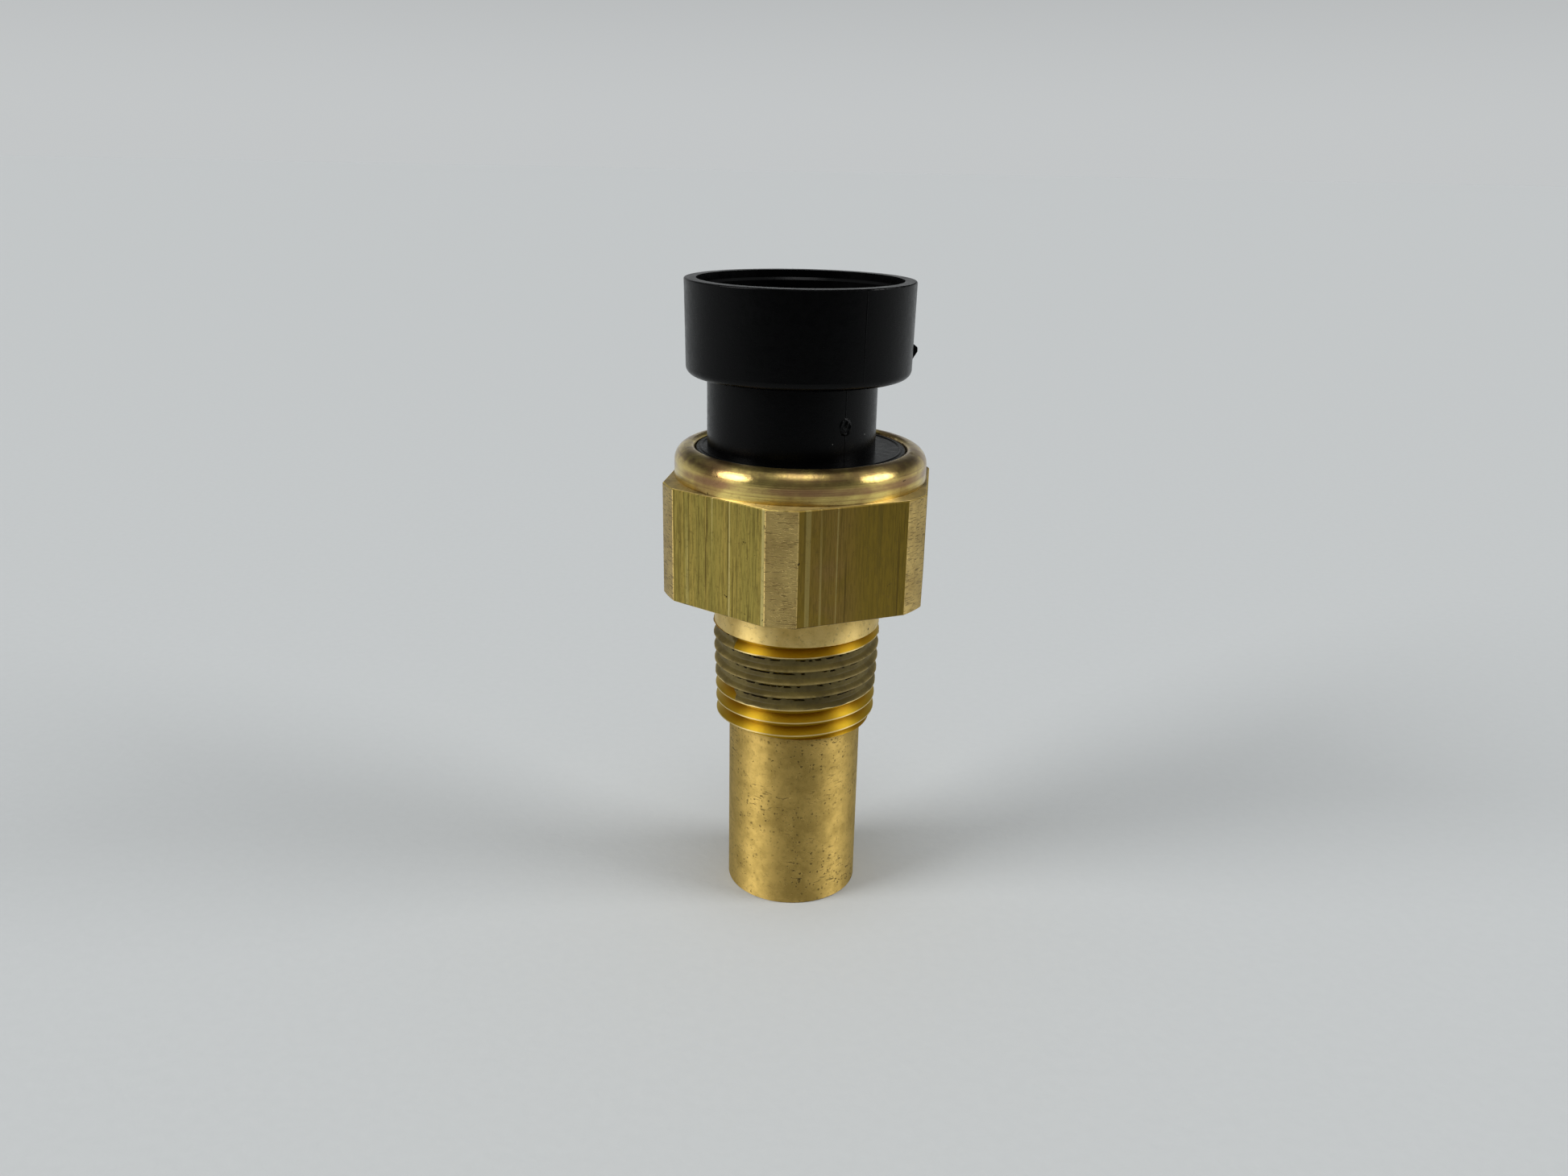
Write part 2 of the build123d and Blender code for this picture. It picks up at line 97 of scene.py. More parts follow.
# %% The Finish class
class Finish:
    """One material under construction."""

    def __init__(self, name):
        self.material = bpy.data.materials.new(name)
        self.material.use_nodes = True
        self.tree = self.material.node_tree
        self.shader = self.tree.nodes["Principled BSDF"]
        self.place = self.add("ShaderNodeTexCoord").outputs["Object"]

    def add(self, kind, **settings):
        node = self.tree.nodes.new(kind)
        for key, value in settings.items():
            setattr(node, key, value)
        return node

    def feed(self, socket, value):
        """Link a socket to another one, or set it to a plain value."""
        if isinstance(value, bpy.types.NodeSocket):
            self.tree.links.new(value, socket)
        else:
            socket.default_value = value

    def set(self, **values):
        """Feed the shader's own sockets, named with underscores for spaces."""
        for key, value in values.items():
            self.feed(self.shader.inputs[key.replace("_", " ")], value)

    def math(self, operation, first, second=0.0, third=None, clamp=False):
        node = self.add("ShaderNodeMath", operation=operation, use_clamp=clamp)
        self.feed(node.inputs[0], first)
        self.feed(node.inputs[1], second)
        if third is not None:
            self.feed(node.inputs[2], third)
        return node.outputs[0]

    def both(self, *values):
        """The product of several 0 to 1 masks."""
        result = values[0]
        for value in values[1:]:
            result = self.math("MULTIPLY", result, value)
        return result

    def away(self, value):
        """1 where a mask is 0."""
        return self.math("SUBTRACT", 1.0, value)

    def axes(self):
        """The x, y and z of the object's own place."""
        split = self.add("ShaderNodeSeparateXYZ")
        self.feed(split.inputs[0], self.place)
        return split.outputs

    def radius(self):
        """Distance from the switch's axis."""
        x, y, _ = self.axes()
        squares = self.math("ADD", self.math("MULTIPLY", x, x), self.math("MULTIPLY", y, y))
        return self.math("SQRT", squares)

    def height(self):
        return self.axes()[2]

    def facing(self, degrees):
        """How far the place lies towards one side of the axis, in metres."""
        x, y, _ = self.axes()
        turn = math.radians(degrees)
        along_x = self.math("MULTIPLY", x, math.cos(turn))
        along_y = self.math("MULTIPLY", y, math.sin(turn))
        return self.math("ADD", along_x, along_y)

    def stretched(self, x, y, z):
        """The object's place with each axis scaled, for grain that runs one way."""
        node = self.add("ShaderNodeMapping")
        self.feed(node.inputs["Vector"], self.place)
        node.inputs["Scale"].default_value = (x, y, z)
        return node.outputs[0]

    def noise(self, scale, detail=4.0, roughness=0.5, vector=None, distortion=0.0):
        node = self.add("ShaderNodeTexNoise")
        self.feed(node.inputs["Vector"], self.place if vector is None else vector)
        node.inputs["Scale"].default_value = scale
        node.inputs["Detail"].default_value = detail
        node.inputs["Roughness"].default_value = roughness
        node.inputs["Distortion"].default_value = distortion
        return node.outputs["Fac"]

    def specks(self, scale, size, share, ragged=0.0):
        """Scattered spots: size is a share of the spacing, share is how many places hold one."""
        vector = self.place
        if ragged:
            wobble = self.add("ShaderNodeTexNoise")
            self.feed(wobble.inputs["Vector"], self.place)
            wobble.inputs["Scale"].default_value = 2.5 * scale
            shift = self.add("ShaderNodeVectorMath", operation="MULTIPLY_ADD")
            self.feed(shift.inputs[0], wobble.outputs["Color"])
            shift.inputs[1].default_value = (ragged / scale,) * 3
            self.feed(shift.inputs[2], self.place)
            vector = shift.outputs[0]
        node = self.add("ShaderNodeTexVoronoi")
        self.feed(node.inputs["Vector"], vector)
        node.inputs["Scale"].default_value = scale
        pick = self.add("ShaderNodeSeparateColor")
        self.feed(pick.inputs[0], node.outputs["Color"])
        chosen = self.step(pick.outputs[0], 1 - share, 1 - share + 0.01, smooth=False)
        reach = self.math("MULTIPLY", self.math("ADD", pick.outputs[1], 0.4), size)
        inside = self.math("SUBTRACT", reach, node.outputs["Distance"])
        return self.both(chosen, self.step(inside, 0.0, 0.25 * size))

    def step(self, value, low, high, smooth=True):
        """0 below low, 1 above high, and a ramp between; low may be the larger."""
        node = self.add("ShaderNodeMapRange", clamp=True)
        if smooth:
            node.interpolation_type = "SMOOTHSTEP"
        if low > high:
            low, high = high, low
            node.inputs["To Min"].default_value = 1.0
            node.inputs["To Max"].default_value = 0.0
        self.feed(node.inputs["Value"], value)
        node.inputs["From Min"].default_value = low
        node.inputs["From Max"].default_value = high
        return node.outputs["Result"]

    def scale_to(self, value, low, high):
        """A 0 to 1 value spread from low to high."""
        node = self.add("ShaderNodeMapRange", clamp=True)
        self.feed(node.inputs["Value"], value)
        node.inputs["To Min"].default_value = low
        node.inputs["To Max"].default_value = high
        return node.outputs["Result"]

    def band(self, value, low, high, soft):
        """1 between low and high, with soft ends."""
        return self.both(
            self.step(value, low - soft, low + soft), self.step(value, high + soft, high - soft)
        )

    def mix(self, factor, first, second):
        """Mix two colours."""
        node = self.add("ShaderNodeMix", data_type="RGBA")
        self.feed(node.inputs[0], factor)
        for socket, value in ((node.inputs[6], first), (node.inputs[7], second)):
            if not isinstance(value, bpy.types.NodeSocket):
                value = (*value, 1.0)
            self.feed(socket, value)
        return node.outputs[2]

    def blend(self, factor, first, second):
        """Mix two plain values."""
        node = self.add("ShaderNodeMix", data_type="FLOAT")
        self.feed(node.inputs[0], factor)
        self.feed(node.inputs[2], first)
        self.feed(node.inputs[3], second)
        return node.outputs[0]

    def bump(self, height, depth, below=None):
        """A bump whose depth is in metres; below is the bump that it lies on."""
        node = self.add("ShaderNodeBump")
        node.inputs["Strength"].default_value = 1.0
        node.inputs["Distance"].default_value = depth
        self.feed(node.inputs["Height"], height)
        if below is not None:
            self.feed(node.inputs["Normal"], below)
        return node.outputs["Normal"]


def dress(material, *nodes):
    """Give CAD parts a material."""
    for name in nodes:
        part = cad[name]
        part.data.materials.clear()
        part.data.materials.append(material)


# %% [markdown]
# ## A small kit for meshes
#
# Every new shape here is a sheet of points in rows, which is bent to a floor, a bead, a scar or
# the skin on the thread. So one function joins rows of points with faces, and another one turns
# points and faces into an object.

# %% Mesh helpers
def grid_faces(rows, columns, closed):
    """The faces of a grid of points; closed joins the last column to the first."""
    faces = []
    for j in range(rows):
        for i in range(columns if closed else columns - 1):
            k = (i + 1) % columns
            faces.append((j * columns + i, j * columns + k, (j + 1) * columns + k,
                          (j + 1) * columns + i))
    return faces


def new_object(name, points, faces):
    mesh = bpy.data.meshes.new(name)
    mesh.from_pydata(points, [], faces)
    mesh.update()
    mesh.shade_smooth()
    made = bpy.data.objects.new(name, mesh)
    bpy.context.collection.objects.link(made)
    print("%s: %d faces" % (name, len(faces)))
    return made


# %% [markdown]
# ## The camera and the room
#
# The switch is small, 64 mm tall, and was looked at from close by with a wide lens. That gives
# strong perspective: the far end of the snout is narrower than a longer lens would show it. The
# camera stands a little to the right of the hexagon's corner and looks down on the switch.

# %% Camera
camera_distance = 119.6 * MM
camera_height = 74.4 * MM
camera_side = -1.37 * MM
camera_turn = math.radians(7.0)
camera_pitch = math.radians(19.07)
camera_roll = math.radians(1.14)
sensor_width = 36.0
lens_length = 28.26
nearest_seen = 5 * MM
exposure_stops = -0.08

right = Vector((math.cos(camera_turn), math.sin(camera_turn), 0))
ahead = Vector((-math.sin(camera_turn), math.cos(camera_turn), 0))
look = ahead * math.cos(camera_pitch) - Vector((0, 0, 1)) * math.sin(camera_pitch)

camera_data = bpy.data.cameras.new("camera")
camera_data.lens = lens_length
camera_data.sensor_width = sensor_width
camera_data.clip_start = nearest_seen
camera = bpy.data.objects.new("camera", camera_data)
bpy.context.collection.objects.link(camera)
camera.rotation_mode = "QUATERNION"
camera.location = right * camera_side - ahead * camera_distance
camera.location.z = camera_height
aim = look.to_track_quat("-Z", "Y")
camera.rotation_quaternion = aim @ Matrix.Rotation(camera_roll, 3, "Z").to_quaternion()
bpy.context.scene.camera = camera
bpy.context.scene.view_settings.view_transform = "Standard"
bpy.context.scene.view_settings.exposure = exposure_stops
print("camera at", tuple(round(v, 4) for v in camera.location))

# %% [markdown]
# ## Floor and light
#
# The floor is one wide sheet of pale paper. Well out in front of the switch its colour is painted
# down to charcoal, a painted shade where the room's light falls off, because the front of the
# black plastic mirrors that part of it.
#
# Brass and black plastic show little but what they mirror, so the place of the lights matters
# more than their strength. A soft light stands low at each side and draws one upright highlight
# down the turned brass, and a third one overhead catches the roll of the collar. They are made
# as suns with a wide disc: a soft light, as even across the whole floor as a large far window.
# The disc's width sets how fast a shadow fades away from the foot of the switch.


# %% Paper floor
def make_floor(reach, cells):
    """A flat square of paper, in a few cells so that its corners can be told apart."""
    points = []
    for j in range(cells + 1):
        for i in range(cells + 1):
            points.append((reach * (2 * i / cells - 1), reach * (2 * j / cells - 1), 0.0))
    sheet = new_object("paper_floor", points, grid_faces(cells, cells + 1, closed=False))
    sheet.rotation_euler.z = camera_turn
    return sheet


paper_pale = (0.60, 0.62, 0.625)
paper_paler = (0.63, 0.65, 0.655)
paper_painted_shade = (0.06, 0.062, 0.065)
painted_shade_starts = 110 * MM
painted_shade_full = 320 * MM

paper = Finish("floor_paper")
grain = paper.noise(900, detail=6)
towards_camera = paper.math("MULTIPLY", paper.axes()[1], -1.0)
# Painted shade: out in front of the switch the paper's colour darkens to charcoal.
paper.set(
    Base_Color=paper.mix(
        paper.step(towards_camera, painted_shade_starts, painted_shade_full),
        paper.mix(grain, paper_pale, paper_paler),
        paper_painted_shade,
    ),
    Roughness=0.85,
    Normal=paper.bump(grain, 0.04 * MM),
)
floor = make_floor(reach=12.0, cells=8)
floor.data.materials.append(paper.material)


# %% Lamps
def soft_sun(name, azimuth, elevation, disc_degrees, strength):
    """A distant soft light; azimuth 0 is the camera's side, 90 its right."""
    turn = math.radians(azimuth) + camera_turn
    lift = math.radians(elevation)
    towards = Vector((
        math.sin(turn) * math.cos(lift), -math.cos(turn) * math.cos(lift), math.sin(lift)
    ))
    data = bpy.data.lights.new(name, "SUN")
    data.angle = math.radians(disc_degrees)
    data.energy = strength
    lamp = bpy.data.objects.new(name, data)
    bpy.context.collection.objects.link(lamp)
    lamp.location = towards
    lamp.rotation_mode = "QUATERNION"
    lamp.rotation_quaternion = (-towards).to_track_quat("-Z", "Y")
    print("%s: %.2f at azimuth %g, elevation %g" % (name, strength, azimuth, elevation))


soft_sun("left_light", azimuth=-68, elevation=28, disc_degrees=30, strength=2.00)
soft_sun("right_light", azimuth=80, elevation=28, disc_degrees=30, strength=1.50)
soft_sun("top_light", azimuth=0, elevation=80, disc_degrees=25, strength=0.50)

# %% [markdown]
# The room itself is dim, with a pale wall low down behind the switch and a white ceiling. The
# wall meets the floor at the same brightness, so no line shows between them.


# %% Room light
def room_node(kind, **settings):
    node = room.nodes.new(kind)
    for key, value in settings.items():
        setattr(node, key, value)
    return node


def room_ramp(source, low, high, top):
    """A smooth rise from 0 to top as a socket goes from low to high."""
    node = room_node("ShaderNodeMapRange", interpolation_type="SMOOTHSTEP")
    node.inputs["From Min"].default_value = low
    node.inputs["From Max"].default_value = high
    node.inputs["To Max"].default_value = top
    room.links.new(source, node.inputs["Value"])
    return node.outputs["Result"]


def room_math(operation, first, second):
    node = room_node("ShaderNodeMath", operation=operation)
    for socket, value in zip(node.inputs, (first, second)):
        if isinstance(value, bpy.types.NodeSocket):
            room.links.new(value, socket)
        else:
            socket.default_value = value
    return node.outputs[0]


room_dim = 0.09
wall_bright = 0.51
ceiling_bright = 0.35
room_tint = (0.97, 1.0, 1.01)
world = bpy.data.worlds.new("room")
bpy.context.scene.world = world
world.use_nodes = True
room = world.node_tree
direction = room_node("ShaderNodeTexCoord").outputs["Generated"]
backwards = room_node("ShaderNodeVectorMath", operation="DOT_PRODUCT")
backwards.inputs[1].default_value = (ahead.x, ahead.y, 0)
room.links.new(direction, backwards.inputs[0])
parts = room_node("ShaderNodeSeparateXYZ")
room.links.new(direction, parts.inputs[0])
up = parts.outputs[2]
wall_ahead = room_ramp(backwards.outputs["Value"], -0.3, 0.6, wall_bright)
wall_low_down = room_math("SUBTRACT", 1.0, room_ramp(up, 0.02, 0.45, 1.0))
wall = room_math("MULTIPLY", wall_ahead, wall_low_down)
ceiling = room_ramp(up, 0.45, 0.95, ceiling_bright)
glow = room_math("ADD", room_math("ADD", wall, ceiling), room_dim)
tint = room_node("ShaderNodeCombineColor")
for socket, share in zip(tint.inputs, room_tint):
    room.links.new(room_math("MULTIPLY", glow, share), socket)
room.links.new(tint.outputs[0], room.nodes["Background"].inputs["Color"])

# %% [markdown]
# ## Brass
#
# One bar of brass carries six finishes. The hexagon's flats are as drawn: streaks run up and down,
# with greenish and brownish stains, and the flats facing right are painted darker and browner as
# painted shade. The corners, neck and snout were turned, so their marks run round. The snout is
# satin, with small pits. The thread is painted amber, a painted reflection of brass in brass, and
# darker towards the roots as painted shade. The collar was pressed over, which left it scuffed and
# tarnished, and a painted dark reflection band lies under its roll.
#
# The finishes share one shader, and masks made from the height and the radius pick the zone.
# Turned and drawn metal reflects more widely across its grain than along it, so the shader is
# set anisotropic, with its grain running round the axis and turned upright on the flats.

# %% Brass: zones
brass = Finish("bar_brass")
z = brass.height()
r = brass.radius()

edge = 0.02 * MM
in_hexagon = brass.band(z, hex_bottom + 1.5 * edge, hex_top - 1.5 * edge, edge)
on_flats = brass.both(
    in_hexagon, brass.step(r, hex_corner_radius - edge, hex_corner_radius - 3 * edge)
)
on_corners = brass.both(in_hexagon, brass.away(on_flats))
on_snout = brass.step(z, snout_top + 2.5 * edge, snout_top - 2.5 * edge)
on_thread = brass.band(z, snout_top, thread_top, edge)
on_collar = brass.step(z, hex_top + edge, hex_top + 3 * edge)

# %% Brass: grain
drawn = brass.noise(1.0, detail=5, roughness=0.7, vector=brass.stretched(2600, 2600, 30))
drawn_grain = brass.noise(1.0, detail=4, roughness=0.7, vector=brass.stretched(6500, 6500, 500))
drawn_wide = brass.noise(1.0, detail=3, roughness=0.6, vector=brass.stretched(900, 900, 14))
drawn_scores = brass.noise(1.0, detail=2, vector=brass.stretched(1700, 1700, 9))
rings = brass.noise(1.0, detail=4, roughness=0.65, vector=brass.stretched(70, 70, 7000))
ring_marks = brass.noise(1.0, detail=3, roughness=0.6, vector=brass.stretched(1100, 1100, 9000))
mottle = brass.noise(420, detail=6, roughness=0.65)
fine_mottle = brass.noise(2600, detail=4, roughness=0.6)
stain = brass.noise(110, detail=5, roughness=0.6, distortion=0.5)

# %% Brass: colours
satin = (0.70, 0.515, 0.165)
satin_dark = (0.52, 0.375, 0.110)
flat_green = (0.60, 0.475, 0.115)
flat_gold = (0.68, 0.51, 0.125)
flat_shade_brown = (0.27, 0.175, 0.022)
tarnish = (0.34, 0.20, 0.09)
amber = (0.74, 0.50, 0.035)
amber_root_shade = (0.46, 0.27, 0.015)
crest_worn = (0.80, 0.64, 0.28)
corner_gold = (0.72, 0.54, 0.20)
corner_dark = (0.54, 0.39, 0.14)
neck_gold = (0.86, 0.66, 0.26)
neck_dark = (0.70, 0.51, 0.17)
collar_gold = (0.82, 0.64, 0.20)
collar_brown = (0.46, 0.30, 0.10)
grain_brown = (0.17, 0.125, 0.028)
fine_grain_brown = (0.16, 0.115, 0.025)
score_brown = (0.12, 0.08, 0.02)
score_glint = (1.0, 0.84, 0.34)
roll_brown = (0.25, 0.15, 0.07)
ring_brown = (0.24, 0.12, 0.06)
dark_reflection_brown = (0.30, 0.15, 0.09)

# %% Brass: turned zones
snout_colour = brass.mix(brass.step(mottle, 0.36, 0.66), satin, satin_dark)
corner_colour = brass.mix(brass.step(mottle, 0.3, 0.7), corner_gold, corner_dark)
neck_colour = brass.mix(brass.step(mottle, 0.4, 0.7), neck_gold, neck_dark)

# %% [markdown]
# The hexagon's flats are the busiest zone. A greenish and a golden brass alternate in wide
# streaks, and the flats facing right are painted darker and browner as painted shade, with a
# purple-brown patch near the front corner. Over that come two sizes of grain, a few dark scores
# and a few bright ones, whose brightness is partly a painted glint that is stronger on the left.
# Each is one noise, stretched along the bar, that mixes a further colour in.

# %% Brass: flats
flat_colour = brass.mix(brass.step(drawn_wide, 0.38, 0.62), flat_green, flat_gold)
# Painted shade: the flats that face right are mixed towards a darker brown.
right_flats_shade = brass.step(brass.facing(0), -0.6 * MM, 1.2 * MM)
flat_colour = brass.mix(brass.both(right_flats_shade, 0.88), flat_colour, flat_shade_brown)

patch_side = brass.band(brass.facing(0), 2.6 * MM, 6.0 * MM, 2.2 * MM)
patch_front = brass.step(brass.facing(-90), 2 * MM, 4 * MM)
patch = brass.both(patch_side, patch_front, brass.step(stain, 0.36, 0.66), 0.55)
flat_colour = brass.mix(patch, flat_colour, tarnish)

dark_grain = brass.both(brass.step(drawn, 0.50, 0.34), 0.6)
flat_colour = brass.mix(dark_grain, flat_colour, grain_brown)
dark_fine_grain = brass.both(brass.step(drawn_grain, 0.56, 0.40), 0.42)
flat_colour = brass.mix(dark_fine_grain, flat_colour, fine_grain_brown)

dark_scores = brass.both(brass.band(drawn_scores, 0.385, 0.40, 0.004), on_flats, 0.7)
flat_colour = brass.mix(dark_scores, flat_colour, score_brown)
# Scratches with a painted glint: the bright scores are made stronger on the flats facing left,
# where the left light falls.
left_flats_glint = brass.step(brass.facing(180), 0.0, 2.0 * MM)
scores_and_glint = brass.both(
    brass.step(drawn_scores, 0.62, 0.66), brass.scale_to(left_flats_glint, 0.2, 0.75)
)
flat_colour = brass.mix(scores_and_glint, flat_colour, score_glint)

# %% Brass: collar
collar_colour = brass.mix(brass.step(stain, 0.44, 0.64), collar_gold, collar_brown)
roll_height = brass.step(z, lip_top - 1.7 * MM, lip_top - 0.4 * MM)
roll_tarnish = brass.both(roll_height, brass.step(mottle, 0.30, 0.62), 0.75)
collar_colour = brass.mix(roll_tarnish, collar_colour, roll_brown)
tool_rings = brass.both(brass.step(rings, 0.50, 0.68), 0.5)
collar_colour = brass.mix(tool_rings, collar_colour, ring_brown)
# Painted dark reflection: a darker brown band at a fixed height under the roll, mottled by the
# stain noise.
under_roll_dark_reflection = brass.both(
    brass.band(z, lip_top - 2.15 * MM, lip_top - 1.45 * MM, 0.22 * MM),
    brass.step(stain, 0.30, 0.55),
    0.7,
)
collar_colour = brass.mix(under_roll_dark_reflection, collar_colour, dark_reflection_brown)

# %% Brass: thread
taper = brass.math(
    "MULTIPLY_ADD", brass.math("SUBTRACT", z, snout_top), thread_taper,
    thread_small_radius - thread_depth,
)
up_the_flank = brass.math("SUBTRACT", r, taper)
# Painted reflection and painted shade: the thread's amber stands for brass mirrored in brass, and
# it darkens towards the roots.
thread_colour = brass.mix(brass.step(up_the_flank, 0.0, 0.9 * thread_depth), amber_root_shade, amber)
at_crest = brass.step(up_the_flank, 0.93 * thread_depth, 0.99 * thread_depth)
thread_colour = brass.mix(at_crest, thread_colour, crest_worn)

# %% Brass: zones joined
colour = brass.mix(on_snout, neck_colour, snout_colour)
colour = brass.mix(on_thread, colour, thread_colour)
colour = brass.mix(on_flats, colour, flat_colour)
colour = brass.mix(on_corners, colour, corner_colour)
colour = brass.mix(on_collar, colour, collar_colour)

# %% Brass: pits, dashes and dark corner bands
dark_mark_brown = (0.05, 0.032, 0.012)
dash_brown = (0.13, 0.085, 0.03)
speckle_brown = (0.20, 0.13, 0.04)

speckle = brass.both(brass.step(fine_mottle, 0.56, 0.70), brass.away(on_thread))
small_pits = brass.both(
    brass.specks(scale=2600, size=0.30, share=0.6, ragged=0.6),
    brass.step(brass.noise(190), 0.42, 0.62),
    on_snout,
)
large_pits = brass.both(
    brass.specks(scale=1000, size=0.11, share=0.14, ragged=0.9), brass.away(on_thread)
)
snout_waves = brass.noise(1.0, detail=3, distortion=0.8, vector=brass.stretched(900, 900, 4200))
waves = brass.both(
    brass.step(snout_waves, 0.60, 0.68), brass.step(brass.noise(170), 0.50, 0.62), on_snout
)
dashes = brass.both(brass.step(ring_marks, 0.55, 0.62), on_corners)
# Two thin darker bands: one in the corner under the hexagon, one where the hexagon meets the
# collar.
hex_underside = brass.both(
    brass.band(z, hex_bottom - 0.15 * MM, hex_bottom + 0.12 * MM, 0.05 * MM),
    brass.step(mottle, 0.52, 0.62),
)
hex_top_corner_band = brass.both(
    brass.band(z, hex_top - 0.02 * MM, hex_top + 0.12 * MM, 0.05 * MM),
    brass.step(stain, 0.40, 0.60),
)

colour = brass.mix(brass.both(speckle, 0.35), colour, speckle_brown)
colour = brass.mix(brass.both(small_pits, 0.6), colour, dark_mark_brown)
colour = brass.mix(brass.both(large_pits, 0.9), colour, dark_mark_brown)
colour = brass.mix(brass.both(waves, 0.6), colour, dark_mark_brown)
colour = brass.mix(brass.both(dashes, 0.6), colour, dash_brown)
colour = brass.mix(brass.both(hex_underside, 0.7), colour, dark_mark_brown)
colour = brass.mix(brass.both(hex_top_corner_band, 0.6), colour, dark_mark_brown)

# %% Brass: gloss and relief
roughness = brass.scale_to(mottle, 0.46, 0.60)
roughness = brass.blend(on_snout, roughness, brass.scale_to(mottle, 0.66, 0.80))
roughness = brass.blend(on_thread, roughness, 0.42)
roughness = brass.blend(on_collar, roughness, brass.scale_to(stain, 0.16, 0.34))
roughness = brass.blend(on_flats, roughness, brass.scale_to(drawn, 0.46, 0.62))

off_flats = brass.away(on_flats)
quarter_turn = 0.25
grain_turn = brass.math("MULTIPLY", off_flats, quarter_turn)
tangent = brass.add("ShaderNodeTangent", direction_type="RADIAL", axis="Z")
relief = brass.bump(brass.both(drawn, on_flats), 0.04 * MM)
relief = brass.bump(brass.both(rings, off_flats), 0.01 * MM, relief)
relief = brass.bump(brass.both(mottle, off_flats), 0.03 * MM, relief)
all_pits = brass.math("ADD", small_pits, large_pits)
all_strokes = brass.math("ADD", waves, dashes)
sunk = brass.math("ADD", all_pits, all_strokes)
relief = brass.bump(brass.math("MULTIPLY", sunk, -1.0), 0.04 * MM, relief)
brass.set(
    Base_Color=colour, Metallic=1.0, Roughness=roughness, Anisotropic=0.85,
    Anisotropic_Rotation=grain_turn, Tangent=tangent.outputs[0], Normal=relief,
)
dress(brass.material, "brass_body")
print("brass nodes:", len(brass.tree.nodes))

# %% [markdown]
# ## Black plastic
#
# The socket is glass-filled nylon, moulded in a polished tool. It is nearly black and half
# glossy. Its surface has a faint mottle from the glass fibres, and is duller where it was
# handled. A few specks of pale dust have settled on it, as on any black part from a store room.
#
# Black this deep shows only what it mirrors, so the specular level does more than the colour.

# %% Plastic finish
nylon_black = (0.0002, 0.0002, 0.0003)
nylon_cloudy = (0.0014, 0.0015, 0.0017)
dust_pale = (0.30, 0.30, 0.29)

plastic = Finish("socket_plastic")
fibre = plastic.noise(1500, detail=5, roughness=0.6)
cloud = plastic.noise(260, detail=4, roughness=0.6)
dust = plastic.specks(scale=420, size=0.045, share=0.35, ragged=0.3)
handled = plastic.step(plastic.noise(1100, detail=6, roughness=0.7), 0.30, 0.70)
plastic_colour = plastic.mix(cloud, nylon_black, nylon_cloudy)
plastic_colour = plastic.mix(plastic.both(dust, 0.8), plastic_colour, dust_pale)
polished = plastic.scale_to(fibre, 0.18, 0.30)
dulled = plastic.scale_to(fibre, 0.26, 0.40)
plastic.set(
    Base_Color=plastic_colour,
    Roughness=plastic.blend(handled, polished, dulled),
    Specular_IOR_Level=0.10,
    Normal=plastic.bump(fibre, 0.014 * MM),
)
dress(plastic.material, "connector_housing", "pin_guide", "transfer_pin", "terminal_potting")

# %% [markdown]
# ## Marks that the mould leaves
#
# The tool's parts met along a thin upright line, which still stands up on the shroud and on the
# neck. The plastic was let in through a small gate on the neck's line, and a torn scar is left
# there. A low ring runs round the flange inside the lip. They are all proud of the surface, so
# each is a small mesh that sits a little into the wall. Bump alone would leave the outline
# smooth where such a mark stands at the edge of the view.


# %% A mesh piece in black plastic
def add_plastic_piece(name, points, faces):
    """A mesh that rides on the switch and shares the socket's plastic."""
    piece = new_object(name, points, faces)
    piece.data.materials.append(plastic.material)
    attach(piece, "switch_body")


# %% Mould lines
neck_line_turn = math.radians(-46)
shroud_line_turn = math.radians(-51)
mould_line_width = 0.10 * MM


def add_mould_line(name, line_turn, centre_x, low, high, radius_low, radius_high, proud):
    """A rounded bead that runs up a round wall, closed at both ends."""
    out = Vector((math.cos(line_turn), math.sin(line_turn), 0))
    side = Vector((-out.y, out.x, 0))
    rows, across = 60, 8
    points = []
    for j in range(rows + 1):
        share = j / rows
        height = low + (high - low) * share
        radius = radius_low + (radius_high - radius_low) * share
        ragged_proud = proud * (0.75 + 0.5 * noise.noise(Vector((0, 0, height * 2500))))
        for i in range(across):
            turn = 2 * math.pi * i / across
            place = out * (radius + ragged_proud * math.cos(turn))
            place += side * (mould_line_width / 2 * math.sin(turn))
            points.append(tuple(place + Vector((centre_x, 0, height))))
    faces = grid_faces(rows, across, closed=True)
    faces.append(tuple(reversed(range(across))))
    faces.append(tuple(rows * across + i for i in range(across)))
    add_plastic_piece(name, points, faces)


add_mould_line("shroud_mould_line", shroud_line_turn, socket_x, shroud_bottom + 0.7 * MM,
               rim_top - 0.2 * MM, shroud_radius - shroud_draft, shroud_radius, 0.035 * MM)
add_mould_line("neck_mould_line", neck_line_turn, plug_neck_x, flange_top, shroud_bottom,
               plug_neck_radius, plug_neck_radius, 0.04 * MM)


# %% Gate scar
def add_gate_scar(turn, height, width, tall, proud):
    """A torn, lumpy patch on the neck; its rim is sunk under the surface."""
    steps = 28
    sunk = 0.03 * MM
    points = []
    for j in range(steps + 1):
        for i in range(steps + 1):
            u, v = 2 * i / steps - 1, 2 * j / steps - 1
            reach = max(0.0, 1 - (u * u + v * v) ** 1.5)
            lump = 0.55 + 0.8 * noise.noise(Vector((u * 2.2, v * 2.2, 4.0)))
            rim = 0.5 * math.exp(-((u * u + v * v - 0.55) / 0.15) ** 2)
            radius = plug_neck_radius - sunk + proud * (reach * lump + rim * reach)
            angle = turn + u * width / 2 / plug_neck_radius
            points.append((
                plug_neck_x + radius * math.cos(angle),
                radius * math.sin(angle),
                height + v * tall / 2,
            ))
    add_plastic_piece("gate_scar", points, grid_faces(steps, steps + 1, closed=False))


